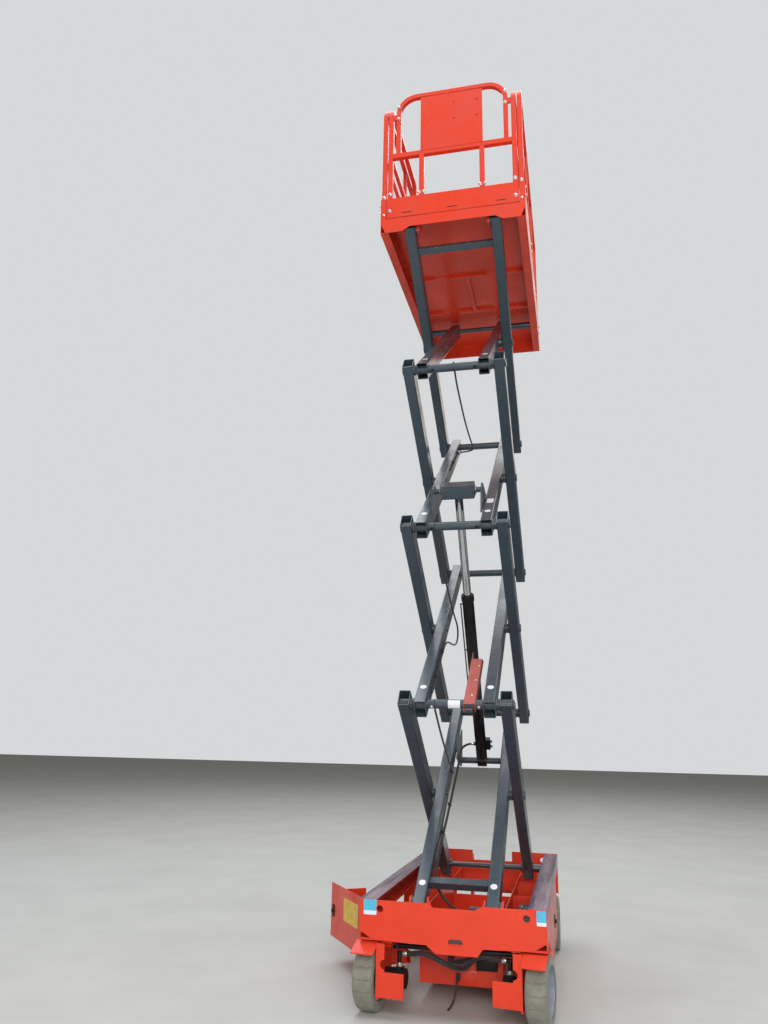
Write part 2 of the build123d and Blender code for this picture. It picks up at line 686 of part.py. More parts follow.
def guard_rails():
    """The main rails of both sides with their posts and middle rails, and the rear half rail."""
    r, m = rail_half, mid_half
    x = post_x
    ya, yb = deck_front_y + 5 + r, deck_back_y - 5 - r
    z_top = deck_z + rail_top
    z_mid = deck_z + rail_mid
    loop = rail_loop(x, ya, yb, deck_z, z_top, 70)
    mid = block(x - m, x + m, ya, yb, z_mid - m, z_mid + m)
    posts = [block(x - m, x + m, y - m, y + m, deck_z, z_top) for y in (700, 1420)]
    right = fuse(loop, mid, posts)
    left = mirror(right, Plane.YZ)
    hinge_x = -x + r + gate_gap / 2
    hinge_y = yb - r - gate_hinge_r + 1
    step = hinge_knuckle + seat_gap
    for z in gate_hinges:
        for z0 in (deck_z + z - step, deck_z + z + step):
            left += bar_z(gate_hinge_r, z0, z0 + hinge_knuckle, hinge_x, hinge_y)
            left += block(hinge_x - 12, hinge_x, hinge_y - 6, hinge_y + 10, z0, z0 + hinge_knuckle)
    save("guard_rails", right, left)
    z_rear = z_top - 60
    bent = square_tube([(x - r, yb, z_rear), (gate_post, yb, z_rear), (gate_post, yb, deck_z)], 70, r)
    mid = block(gate_post, x - r, yb - m, yb + m, z_mid - m, z_mid + m)
    save("rear_rail", fuse(bent, mid, block(gate_post - 15, x - r, yb - 4, yb, deck_z, deck_z + 150)))

    tube = gate_half
    x0, x1 = -x + r + gate_gap + tube, gate_post - r - gate_gap - tube
    z0 = deck_z + 40
    corners = [(x0, yb, z0), (x0, yb, z_rear), (x1, yb, z_rear), (x1, yb, z0)]
    frame = square_tube(corners, 60, tube, close=True)
    mid = block(x0, x1, yb - tube + 3, yb + tube - 3, z_mid - tube + 3, z_mid + tube - 3)
    kick = block(x0 + 14, x1 - 14, yb - 2, yb + 2, deck_z + 30, deck_z + 150)
    hinges = []
    for z in gate_hinges:
        z0, z1 = deck_z + z, deck_z + z + hinge_knuckle
        hinges += [bar_z(gate_hinge_r, z0, z1, hinge_x, hinge_y),
                   block(hinge_x, x0 - 1, hinge_y - 4, hinge_y + 14, z0, z1)]
    save("entry_gate", fuse(frame, mid, kick, hinges))


platform()


def extension():
    """The deck extension with its toe plate, side rails, and the arched front guard with its panel."""
    y0 = deck_front_y
    z0 = deck_z + ext_gap
    r, m = rail_half, mid_half
    ext = ext_half
    plate = block(-ext + 10, ext - 10, y0 + 5, y0 + ext_length, z0, z0 + 4)
    toe = block(-ext, ext, y0, y0 + 5, deck_z - 6, deck_z + toe_height)
    sides = both(block(ext - ext_side_t, ext, y0 + 5, y0 + ext_length, z0, z0 + 150))
    strips = both(block(ext - 10, ext - ext_side_t, y0 + 5, y0 + ext_length, z0, z0 + 4))
    save("extension_deck", fuse(plate, toe, sides, strips))
    x = ext_post_x
    ya, yb = y0 + 5 + r, y0 + ext_length - r
    z_top = deck_z + rail_top
    z_mid = deck_z + rail_mid
    loop = rail_loop(x, ya, yb, z0 + 4, z_top, 70)
    mid = block(x - m, x + m, ya, yb, z_mid - m, z_mid + m)
    save("extension_rails", both(fuse(loop, mid)))

    leg = 432.0
    arch_top = deck_z + 1131
    corners = [(-leg, ya, z_mid), (-leg, ya, arch_top), (leg, ya, arch_top), (leg, ya, z_mid)]
    arch = square_tube(corners, 150, r)
    bar = block(-x + r, x - r, ya - r, ya + r, z_mid - 20, z_mid + 20)
    stubs = both(block(leg + r - 2, x - r, ya - 6, ya + 6, deck_z + 930, deck_z + 980))
    posts = both(block(220, 260, ya - r, ya + r, z0 + 4, z_mid - 20))
    save("front_guard", fuse(arch, bar, stubs, posts))
    save("front_panel", block(-250, 250, ya - r - 2, ya - r, z_mid + 15, deck_z + 1101))


extension()


# Hoses and cables: radius, then route
routes = {
    "left_motor_hose": (15.0, [
        (-302.5, -121.9, 326), (-266, -126.4, 326), (-222, -135, 334), (-178, -145, 339),
        (-134, -151, 332), (-92, -151, 314), (-50, -143, 293), (-10, -122, 275), (24, -88, 259),
        (48, -44, 250), (62, 10, 247), (69, 70, 248), (70, 124, 247), (70, 175, 247)]),
    "right_motor_hose": (15.0, [
        (302.5, -98.1, 326), (266, -93.6, 326), (222, -95, 333), (178, -99, 337), (136, -99, 330),
        (96, -92, 315), (58, -76, 298), (24, -50, 287), (-7, -17, 275), (-34, 22, 265),
        (-54, 70, 259), (-61, 123, 256), (-61, 175, 256)]),
    "lift_hose_upper": (9.0, [
        (-58.3, 1409, 1538), (-85, 1408.5, 1537.5), (-112, 1401, 1530), (-134.5, 1387.5, 1517),
        (-150, 1369.5, 1499.5), (-156.5, 1344, 1475), (-158, 1301, 1434), (-160, 1225, 1362),
        (-168, 1110, 1264), (-174, 992, 1165.5), (-175, 880, 1098)]),
    "lift_hose_lower": (9.0, [
        (-175, 879.6, 1097.75), (-176.4, 729, 1007), (-177, 590, 932), (-176, 463, 866),
        (-175, 360, 804), (-174, 285, 746), (-168, 235, 691), (-150, 208, 640), (-119, 190, 597),
        (-78, 172, 562), (-30, 156, 534), (18, 147, 516), (61.9, 147, 516)]),
    "arm_cable_1": (7.0, [
        (-181, 1100, 1322), (-174, 925, 1374), (-166, 740, 1437), (-158, 555, 1506),
        (-151, 370, 1583), (-144, 185, 1667), (-137, 0, 1759.3)]),
    "arm_cable_2": (7.0, [
        (-181, 150, 1880), (-181.3, 300, 1985), (-180, 450, 2092), (-180, 590, 2196),
        (-179, 705, 2270), (-174, 825, 2300), (-168, 950, 2294), (-162, 1080, 2301),
        (-160, 1170, 2327), (-160, 1228, 2365), (-160, 1258, 2412), (-161, 1252, 2463),
        (-163, 1205, 2499), (-165, 1120, 2528), (-163, 970, 2577), (-159, 800, 2637),
        (-154, 625, 2704), (-149, 455, 2772), (-145, 290, 2841), (-141, 140, 2906),
        (-137, 0, 2972.9)]),
    "arm_cable_3": (7.0, [
        (-180.9, 1038, 3777), (-180.9, 1190, 3881), (-180, 1345, 3989), (-180.8, 1490, 4079),
        (-179, 1580, 4125), (-174.9, 1634, 4148), (-158.8, 1662, 4160), (-131, 1678, 4168),
        (-99, 1678, 4173), (-71, 1662, 4176), (-55, 1634, 4175.5), (-53, 1580, 4172),
        (-52, 1490, 4166.5), (-50, 1330, 4160), (-46, 1145, 4156.5), (-41, 955, 4158),
        (-35, 760, 4166), (-28, 560, 4182), (-22, 365, 4203), (-14, 172, 4230.5),
        (-2, 0, 4260.8)]),
    "ground_strap": (6.0, [
        (-15, 175, 150), (-15, 152, 150), (-16, 129, 141), (-18, 113, 121), (-21, 106, 94),
        (-26, 102, 65), (-33, 92, 38), (-42, 70, 20), (-50, 42, 11), (-56, 12, 8)]),
}


def tube(radius, points):
    """A plain tube along straight runs joined by arcs as large as the runs allow."""
    corners = [Vector(*point) for point in points]
    runs = [b - a for a, b in zip(corners, corners[1:])]
    bends = [0.45 * min(a.length, b.length) / tan(radians(a.get_angle(b) / 2))
             for a, b in zip(runs, runs[1:])]
    path = FilletPolyline(*corners, radius=bends)
    solid = sweep(Plane(origin=path @ 0, z_dir=path % 0) * Circle(radius), path)
    share = solid.volume / (pi * radius**2 * path.length)
    print("radii", [round(bend) for bend in bends], "length", round(path.length), "volume", round(share, 3))
    return solid


for name, (radius, points) in routes.items():
    print(name)
    save(name, tube(radius, points))
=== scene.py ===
"""Looks of a scissor lift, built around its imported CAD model."""
import json
import math

import bmesh
import bpy
from mathutils import Matrix, Vector


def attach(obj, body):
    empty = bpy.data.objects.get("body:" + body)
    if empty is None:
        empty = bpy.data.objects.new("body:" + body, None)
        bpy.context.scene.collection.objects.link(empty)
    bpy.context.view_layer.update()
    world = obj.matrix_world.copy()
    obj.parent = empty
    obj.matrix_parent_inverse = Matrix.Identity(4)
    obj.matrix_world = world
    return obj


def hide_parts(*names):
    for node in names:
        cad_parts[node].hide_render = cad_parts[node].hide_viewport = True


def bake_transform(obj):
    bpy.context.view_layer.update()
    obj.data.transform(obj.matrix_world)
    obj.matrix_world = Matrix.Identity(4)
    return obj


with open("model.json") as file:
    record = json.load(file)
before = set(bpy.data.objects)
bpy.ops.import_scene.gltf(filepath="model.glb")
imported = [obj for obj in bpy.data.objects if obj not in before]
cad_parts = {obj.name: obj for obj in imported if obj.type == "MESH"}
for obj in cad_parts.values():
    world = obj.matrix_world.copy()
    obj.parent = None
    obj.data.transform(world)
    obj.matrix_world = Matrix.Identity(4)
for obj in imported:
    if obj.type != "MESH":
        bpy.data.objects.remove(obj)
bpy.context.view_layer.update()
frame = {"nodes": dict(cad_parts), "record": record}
nodes = frame["nodes"]

# Millimetres in a metre, and where the CAD source's origin lies in the shared frame
MM = 1000
shift_x, shift_y = 240, -962


def place(x, y, z):
    """Millimetres as in the CAD source, turned to metres in the shared frame."""
    return Vector(((x + shift_x) / MM, (y + shift_y) / MM, z / MM))


# Camera, fitted to the photo: angles in radians, lens in mm, place in metres
yaw, pitch, roll = -0.2356, 0.2727, 0.0196
forward = Vector((math.sin(yaw) * math.cos(pitch), math.cos(yaw) * math.cos(pitch),
                  math.sin(pitch)))
level = Vector((math.cos(yaw), -math.sin(yaw), 0))
upright = level.cross(forward)
across = level * math.cos(roll) + upright * math.sin(roll)
upward = upright * math.cos(roll) - level * math.sin(roll)
camera = bpy.data.objects.new("photo_camera", bpy.data.cameras.new("photo_camera"))
bpy.context.scene.collection.objects.link(camera)
camera.data.lens = 28.125
camera.data.clip_end = 200
camera.matrix_world = Matrix((across, upward, -forward)).transposed().to_4x4()
camera.matrix_world.translation = (1.0205, -6.3376, 1.5867)
bpy.context.scene.camera = camera


# Hoses and cables, with the same route points as in the CAD source
def cord(name, radius, points, body, other=None):
    """A hose or cable. If other is given, it is baked into a fixed mesh that rides on no body;
    otherwise it rides on body. Each point's radius is the cord's own in metres, so the bevel depth
    is 1."""
    curve = bpy.data.curves.new(name, "CURVE")
    curve.dimensions = "3D"
    curve.resolution_u = 8
    line = curve.splines.new("NURBS")
    line.points.add(len(points) - 1)
    for spot, point in zip(line.points, points):
        spot.co = (*place(*point), 1)
        spot.radius = radius / MM
    line.order_u = 3
    line.use_endpoint_u = True
    curve.bevel_resolution = 5
    curve.use_fill_caps = True
    obj = bpy.data.objects.new(name + "_route" if other else name, curve)
    path = None
    if other:
        path = [v.co.copy() for v in bpy.data.meshes.new_from_object(obj).vertices]
        curve.bevel_depth = 1
        obj = bpy.data.objects.new(name, bpy.data.meshes.new_from_object(obj))
        for face in obj.data.polygons:
            face.use_smooth = True
        bpy.context.scene.collection.objects.link(obj)
        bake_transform(obj)
    else:
        curve.bevel_depth = 1
        bpy.context.scene.collection.objects.link(obj)
        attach(obj, body)
    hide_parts(name.removesuffix("_look"))
    return obj


left_hose = cord("left_motor_hose_look", 15, [
    (-302.5, -121.9, 326), (-266, -126.4, 326), (-222, -135, 334), (-178, -145, 339),
    (-134, -151, 332), (-92, -151, 314), (-50, -143, 293), (-10, -122, 275), (24, -88, 259),
    (48, -44, 250), (62, 10, 247), (69, 70, 248), (70, 124, 247), (70, 175, 247)],
    "chassis", "left_steer")
right_hose = cord("right_motor_hose_look", 15, [
    (302.5, -98.1, 326), (266, -93.6, 326), (222, -95, 333), (178, -99, 337), (136, -99, 330),
    (96, -92, 315), (58, -76, 298), (24, -50, 287), (-7, -17, 275), (-34, 22, 265),
    (-54, 70, 259), (-61, 123, 256), (-61, 175, 256)],
    "chassis", "right_steer")
upper_hose = cord("lift_hose_upper_look", 9, [
    (-58.3, 1409, 1538), (-85, 1408.5, 1537.5), (-112, 1401, 1530), (-134.5, 1387.5, 1517),
    (-150, 1369.5, 1499.5), (-156.5, 1344, 1475), (-158, 1301, 1434), (-160, 1225, 1362),
    (-168, 1110, 1264), (-174, 992, 1165.5), (-175, 880, 1098)],
    "inner_1", "cylinder_barrel")
lower_hose = cord("lift_hose_lower_look", 9, [
    (-175, 879.6, 1097.75), (-176.4, 729, 1007), (-177, 590, 932), (-176, 463, 866),
    (-175, 360, 804), (-174, 285, 746), (-168, 235, 691), (-150, 208, 640), (-119, 190, 597),
    (-78, 172, 562), (-30, 156, 534), (18, 147, 516), (61.9, 147, 516)],
    "chassis", "inner_1")
cables = [
    cord("arm_cable_1_look", 7, [
        (-181, 1100, 1322), (-174, 925, 1374), (-166, 740, 1437), (-158, 555, 1506),
        (-151, 370, 1583), (-144, 185, 1667), (-137, 0, 1759.3)],
        "inner_1", "outer_1"),
    cord("arm_cable_2_look", 7, [
        (-181, 150, 1880), (-181.3, 300, 1985), (-180, 450, 2092), (-180, 590, 2196),
        (-179, 705, 2270), (-174, 825, 2300), (-168, 950, 2294), (-162, 1080, 2301),
        (-160, 1170, 2327), (-160, 1228, 2365), (-160, 1258, 2412), (-161, 1252, 2463),
        (-163, 1205, 2499), (-165, 1120, 2528), (-163, 970, 2577), (-159, 800, 2637),
        (-154, 625, 2704), (-149, 455, 2772), (-145, 290, 2841), (-141, 140, 2906),
        (-137, 0, 2972.9)],
        "inner_2", "outer_2"),
    cord("arm_cable_3_look", 7, [
        (-180.9, 1038, 3777), (-180.9, 1190, 3881), (-180, 1345, 3989), (-180.8, 1490, 4079),
        (-179, 1580, 4125), (-174.9, 1634, 4148), (-158.8, 1662, 4160), (-131, 1678, 4168),
        (-99, 1678, 4173), (-71, 1662, 4176), (-55, 1634, 4175.5), (-53, 1580, 4172),
        (-52, 1490, 4166.5), (-50, 1330, 4160), (-46, 1145, 4156.5), (-41, 955, 4158),
        (-35, 760, 4166), (-28, 560, 4182), (-22, 365, 4203), (-14, 172, 4230.5),
        (-2, 0, 4260.8)],
        "inner_3", "outer_3"),
]
strap = cord("ground_strap_look", 6, [
    (-15, 175, 150), (-15, 152, 150), (-16, 129, 141), (-18, 113, 121), (-21, 106, 94),
    (-26, 102, 65), (-33, 92, 38), (-42, 70, 20), (-50, 42, 11), (-56, 12, 8)],
    "chassis")


# Materials
def rgb(code):
    """A hex colour as the linear values that a shader needs."""
    values = [int(code[i:i + 2], 16) / 255 for i in (1, 3, 5)]
    return (*(v / 12.92 if v <= 0.04045 else ((v + 0.055) / 1.055) ** 2.4 for v in values), 1)


def add(tree, kind, inputs=None, **settings):
    """Adds a node with its settings, and links or sets its inputs."""
    node = tree.nodes.new(kind)
    for key, value in settings.items():
        setattr(node, key, value)
    for key, value in (inputs or {}).items():
        if isinstance(value, bpy.types.NodeSocket):
            tree.links.new(value, node.inputs[key])
        else:
            node.inputs[key].default_value = value
    return node


# The Mix node's colour sockets by number: its two inputs and its result
MIX_FIRST, MIX_SECOND, MIXED = 6, 7, 2


def remap(tree, value, low, high, to_low=0.0, to_high=1.0):
    """Maps a value from the range low to high onto another range."""
    return add(tree, "ShaderNodeMapRange", {
        "Value": value, "From Min": low, "From Max": high, "To Min": to_low,
        "To Max": to_high}).outputs["Result"]


def mixed(tree, share, first, second):
    """Mixes two colours."""
    return add(tree, "ShaderNodeMix", {"Factor": share, MIX_FIRST: first, MIX_SECOND: second},
               data_type="RGBA").outputs[MIXED]


def finish(name, colour, second, rough=0.4, metallic=0.0, patch=150, grain=4, relief=0.02,
           coat=0.0, edge=2.0, worn=None, wear=0.0, dust="#9A948A", dusty=0.0, spread=0.12,
           stretch=(1, 1, 1), sheen=0.0, alpha=1.0, shine=0.5):
    """A surface finish. Sizes patch, grain and edge are in mm. Colour drifts to second in
    patches, the fine grain stands up by relief (in mm), edges wear to worn, and dust lies on
    what faces up."""
    smoothest = 0.03
    flat, sharp = 0.985, 0.86
    material = bpy.data.materials.new(name)
    material.use_nodes = True
    tree = material.node_tree
    tree.nodes.clear()
    coords = add(tree, "ShaderNodeTexCoord").outputs["Object"]
    spots = add(tree, "ShaderNodeMapping", {"Vector": coords, "Scale": stretch}).outputs["Vector"]
    broad = add(tree, "ShaderNodeTexNoise", {
        "Vector": spots, "Scale": MM / patch, "Detail": 5, "Roughness": 0.6}).outputs["Fac"]
    fine = add(tree, "ShaderNodeTexNoise", {
        "Vector": spots, "Scale": MM / grain, "Detail": 3}).outputs["Fac"]
    tint = mixed(tree, remap(tree, broad, 0.35, 0.7), rgb(colour), rgb(second))
    roughness = remap(tree, broad, 0.3, 0.7, max(rough - spread, smoothest), rough + spread)
    rounded = add(tree, "ShaderNodeBevel", {"Radius": edge / MM}, samples=4).outputs["Normal"]
    normal = add(tree, "ShaderNodeNewGeometry").outputs["Normal"]
    if worn:
        along = add(tree, "ShaderNodeVectorMath", {0: rounded, 1: normal},
                    operation="DOT_PRODUCT").outputs["Value"]
        chips = add(tree, "ShaderNodeTexNoise", {
            "Vector": coords, "Scale": 45, "Detail": 8, "Roughness": 0.7}).outputs["Fac"]
        picked = remap(tree, chips, 0.66 - wear / 3, 0.72 - wear / 3)
        bare = add(tree, "ShaderNodeMath", {0: remap(tree, along, flat, sharp), 1: picked},
                   operation="MULTIPLY").outputs[0]
        tint = mixed(tree, bare, tint, rgb(worn))
    if dusty:
        split = add(tree, "ShaderNodeSeparateXYZ", {"Vector": normal}).outputs["Z"]
        lying = remap(tree, split, 0.2, 1.0, 0.15, 1.0)
        cloud = remap(tree, fine, 0.3, 0.8, 0.0, dusty)
        veil = add(tree, "ShaderNodeMath", {0: lying, 1: cloud}, operation="MULTIPLY").outputs[0]
        tint = mixed(tree, veil, tint, rgb(dust))
    bump = add(tree, "ShaderNodeBump", {
        "Height": fine, "Strength": 0.5, "Distance": relief / MM, "Normal": rounded})
    surface = add(tree, "ShaderNodeBsdfPrincipled", {
        "Base Color": tint, "Roughness": roughness, "Metallic": metallic, "Coat Weight": coat,
        "Coat Roughness": 0.12, "Sheen Weight": sheen, "Alpha": alpha,
        "Specular IOR Level": shine, "Normal": bump.outputs["Normal"]})
    add(tree, "ShaderNodeOutputMaterial", {"Surface": surface.outputs["BSDF"]})
    return material


# Glossy orange-red powder coat, thin at the edges, with a trace of dust
red = finish("red_powder_coat", "#DA3D22", "#CE361D", rough=0.34, patch=260, grain=3,
             relief=0.03, coat=0.08, worn="#8C3A2C", wear=0.12, dusty=0.06, shine=0.35)
# The same red, darker and duller, and dusty
darker_prop_red = finish("darker_dusty_red_paint", "#B34A41", "#9E3C34", rough=0.5, patch=120, grain=4,
               relief=0.05, worn="#7A5A52", wear=0.3, dusty=0.35)
# Slate grey enamel of the arms, rubbed bright along the edges
slate = finish("slate_enamel", "#32434F", "#293945", rough=0.33, patch=180, grain=3,
               relief=0.03, coat=0.2, edge=2.5, worn="#A9AFB6", wear=0.45, dusty=0.12)
# Satin black paint of cylinders, motors and blocks
black = finish("black_paint", "#0D0E10", "#141517", rough=0.45, patch=90, grain=3, relief=0.04,
               worn="#5C5D5F", wear=0.15, dusty=0.05, shine=0.3)
# Ground and plated piston rod
chrome = finish("ground_chrome", "#C9CDCE", "#B9BEC0", rough=0.14, metallic=1.0, patch=60,
                grain=1.5, relief=0.004, spread=0.04, stretch=(1, 1, 0.2), edge=0.8)
# Dark steel of the steering rod: painted shade for the shadow under the front plate
shaded_rod_steel = finish("rod_steel_painted_shade", "#3A3B3D", "#2A2B2D", rough=0.3, metallic=0.8, patch=40, grain=2,
               relief=0.01, spread=0.08, edge=0.8)
# Non-marking grey rubber, scuffed and dusty
tread = finish("grey_tyre_rubber", "#7F8279", "#6D7068", rough=0.78, patch=70, grain=2,
               relief=0.12, edge=3.0, worn="#9A9C93", wear=0.4, dust="#A7A499", dusty=0.3,
               sheen=0.15)
# Pale blue-grey enamel of the rims
rim_paint = finish("rim_enamel", "#8F9BA6", "#7E8993", rough=0.4, patch=60, grain=3,
                   relief=0.03, worn="#5E6468", wear=0.3, dusty=0.2)
# Moulded black battery case
case = finish("battery_case", "#1B1C20", "#232429", rough=0.55, patch=60, grain=1.2,
              relief=0.06, dusty=0.25)
# Black hose rubber under a woven sleeve
rubber = finish("sleeve_rubber", "#131316", "#1D1D20", rough=0.62, patch=25, grain=1.6,
                relief=0.25, dusty=0.12, sheen=0.15, edge=0.5)
# Zinc-plated fasteners and fittings
zinc = finish("zinc_plating", "#C9CCC9", "#B2B6B5", rough=0.34, metallic=0.85, patch=15,
              grain=1, relief=0.01, edge=0.6)
# Blank vinyl label, pale blue-white
label = finish("blank_vinyl_label", "#DFE3EC", "#D3D8E2", rough=0.35, patch=60, grain=2,
               relief=0.01, coat=0.3, edge=0.4, dusty=0.08)
# Blank sky-blue vinyl
sky = finish("blank_blue_vinyl", "#4DB6DC", "#43A8D0", rough=0.35, patch=40, grain=2,
             relief=0.01, coat=0.3, edge=0.4, dusty=0.05)
# Blank yellow vinyl sticker, a little dirty
yellow = finish("blank_yellow_vinyl", "#DFB92A", "#CFA522", rough=0.4, patch=60, grain=2,
                relief=0.01, coat=0.1, edge=0.4, dusty=0.1)
# Violet-grey protective film, streaked along the rails
film = finish("protective_film", "#57506A", "#9A8C93", rough=0.26, patch=45, grain=7,
              relief=0.9, edge=0.5, spread=0.12, stretch=(1, 0.06, 1), alpha=0.86)
# Blue anodised caps
blue = finish("blue_anodised", "#2F6FB8", "#275F9F", rough=0.35, metallic=0.4, patch=12,
              grain=1, relief=0.01, edge=0.5)

by_slot = {"red_paint": red, "slate_paint": slate, "black_paint": black, "chrome_rod": chrome,
           "grey_tyre": tread, "grey_rim": rim_paint, "battery_case": case, "black_rubber": rubber}
for part in frame["record"]["subparts"]:
    mesh = nodes[part["node"]].data
    mesh.materials.clear()
    mesh.materials.append(by_slot[part["material_slot"]])
# The safety prop gets the darker, duller copy of the red
nodes["safety_prop"].data.materials[0] = darker_prop_red
# The steering rod gets the dark steel: painted shade for the shadow under the front plate
nodes["steering_rod"].data.materials[0] = shaded_rod_steel
for obj in (left_hose, right_hose, upper_hose, lower_hose, strap, *cables):
    obj.data.materials.append(rubber)


# Shapes: each adds to the mesh being built, in millimetres of the CAD source.
# Angles in degrees above which an edge is bevelled, and above which it is shaded as sharp
BEVELLED, SHADED_SHARP = 35, 32


def turned(axis):
    """The rotation that brings +Z to an axis."""
    return Vector(axis).to_track_quat("Z", "Y").to_matrix().to_4x4()


def put(mesh, centre, axis=(0, 0, 1), spin=0.0):
    """Turns a shape from +Z to an axis and moves it to a centre."""
    matrix = Matrix.Translation(centre) @ turned(axis) @ Matrix.Rotation(spin, 4, "Z")
    bmesh.ops.transform(mesh, matrix=matrix, verts=mesh.verts[:])


def soften(mesh, width):
    """Bevels the sharp edges of a shape."""
    sharp = [e for e in mesh.edges
             if e.is_manifold and math.degrees(e.calc_face_angle(0)) > BEVELLED]
    bmesh.ops.bevel(mesh, geom=sharp, offset=width, affect="EDGES", segments=2, profile=0.5,
                    material=-1, clamp_overlap=True)


def disc(mesh, centre, axis, radius, height, top=None, sides=32, width=0.8, spin=0.0):
    """A round or many-sided body standing on centre, with softened rims."""
    made = bmesh.ops.create_cone(mesh, cap_ends=True, segments=sides, radius1=radius,
                                 radius2=radius if top is None else top, depth=height)["verts"]
    bmesh.ops.translate(mesh, verts=made, vec=(0, 0, height / 2))
    soften(mesh, width)
    put(mesh, centre, axis, spin)


def slab(mesh, low, high, width=1.5):
    """A block with softened edges."""
    made = bmesh.ops.create_cube(mesh, size=1)["verts"]
    low, high = Vector(low), Vector(high)
    bmesh.ops.scale(mesh, verts=made, vec=high - low)
    bmesh.ops.translate(mesh, verts=made, vec=(low + high) / 2)
    soften(mesh, width)


def ring(mesh, centre, axis, radius, wire, sides=40):
    """A round bead or band."""
    made = bmesh.ops.create_circle(mesh, segments=10, radius=wire)["verts"]
    bmesh.ops.rotate(mesh, verts=made, cent=(0, 0, 0), matrix=Matrix.Rotation(math.pi / 2, 3, "X"))
    bmesh.ops.translate(mesh, verts=made, vec=(radius, 0, 0))
    bmesh.ops.spin(mesh, geom=mesh.verts[:] + mesh.edges[:], cent=(0, 0, 0), axis=(0, 0, 1),
                   angle=math.tau, steps=sides, use_merge=True)
    put(mesh, centre, axis)


def card(mesh, centre, axis, width, height, corner):
    """A thin blank plate with rounded corners, lying on a surface."""
    thick = 0.8
    made = bmesh.ops.create_grid(mesh, x_segments=1, y_segments=1, size=0.5)["verts"]
    bmesh.ops.scale(mesh, verts=made, vec=(width, height, 1))
    bmesh.ops.bevel(mesh, geom=made, offset=corner, affect="VERTICES", segments=5, profile=0.5,
                    material=-1)
    lifted = bmesh.ops.extrude_face_region(mesh, geom=mesh.faces[:], use_keep_orig=True)
    up = [g for g in lifted["geom"] if isinstance(g, bmesh.types.BMVert)]
    bmesh.ops.translate(mesh, verts=up, vec=(0, 0, thick))
    put(mesh, centre, axis)


def sleeve(mesh, centre, length, radius, start, sweep):
    """A thin curved plate around a shaft along X."""
    thick = 0.5
    x, y, z = centre
    ends = [mesh.verts.new((x + dx, y + radius * math.cos(start), z + radius * math.sin(start)))
            for dx in (-length / 2, length / 2)]
    bmesh.ops.spin(mesh, geom=ends + [mesh.edges.new(ends)], cent=centre, axis=(1, 0, 0),
                   angle=sweep, steps=16)
    bmesh.ops.solidify(mesh, geom=mesh.faces[:], thickness=thick)


def show(mesh, data, name, body, material, sharp):
    """Makes the object of a finished mesh and lets it ride on a body."""
    mesh.to_mesh(data)
    mesh.free()
    for face in data.polygons:
        face.use_smooth = True
    data.set_sharp_from_angle(angle=math.radians(sharp))
    obj = bpy.data.objects.new(name, data)
    bpy.context.scene.collection.objects.link(obj)
    data.materials.append(material)
    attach(obj, body)
    return obj


def build(name, body, material, shapes, move=None):
    """Makes one object out of several shapes and lets it ride on a body."""
    mesh, data = bmesh.new(), bpy.data.meshes.new(name)
    for shape, *values in shapes:
        single = bmesh.new()
        shape(single, *values)
        single.to_mesh(data)
        single.free()
        mesh.from_mesh(data)
    if move:
        bmesh.ops.transform(mesh, matrix=move, verts=mesh.verts[:])
    for vert in mesh.verts:
        vert.co = place(*vert.co)
    bmesh.ops.recalc_face_normals(mesh, faces=mesh.faces[:])
    return show(mesh, data, name, body, material, SHADED_SHARP)


def bolt(centre, axis, across=19):
    """The shapes of a washer and a hex head with a chamfered top. Across is over the flats."""
    centre, axis = Vector(centre), Vector(axis).normalized()
    washer, head, spin = 2.4, across * 0.42, 0.3
    high = washer + head
    return [(disc, centre, axis, across * 0.78, washer, None, 32, 0.5),
            (disc, centre + washer * axis, axis, across * 0.577, head, None, 6, 0.9, spin),
            (disc, centre + high * axis, axis, across * 0.46, 1.0, across * 0.36, 32, 0.3)]


# Sizes in mm and angles, as in the CAD source
span, near_row, deck_rise = 2090, 582, 84
rest, steered, swing = math.radians(35.5), math.radians(-7), math.radians(35.4)
cosine, sine = math.cos(rest), math.sin(rest)
rows = [near_row + k * span * sine for k in range(5)]
deck = rows[4] + deck_rise
plate_y, guard_y, toe_y, tub_y = -235, -75, -80, 175
king_x, wheel_reach, rear_wheel_x, tyre_r = 400, 105, 505, 190.5
front_axle_y, rear_axle_y, steer_arm = -110, 1745, 145
tray_hinge = Vector((-548, tub_y, 0))
front, up = (0, -1, 0), (0, 0, 1)


def inner_point(k, x, along, off):
    """A point beside the inner arm of level k (from 0), measured along it and square to it."""
    return (x, along * cosine - off * sine, rows[k] + along * sine + off * cosine)


# Fasteners
spots = [(s * 432, guard_y, deck + z) for s in (-1, 1) for z in (1040, 928)]
spots += [(s * x, guard_y, deck + 202) for s in (-1, 1) for x in (222, 262)]
spots += [(s * 493, guard_y, deck + 214) for s in (-1, 1)]
spots += [(s * 493, toe_y, deck + 57) for s in (-1, 1)]
build("guard_bolts", "extension", zinc, sum((bolt(spot, front) for spot in spots), []))
build("panel_bolts", "extension", red, sum((
    bolt((x, -77, deck + z), front, 12) for x in (21, 205) for z in (1010, 858)), []))
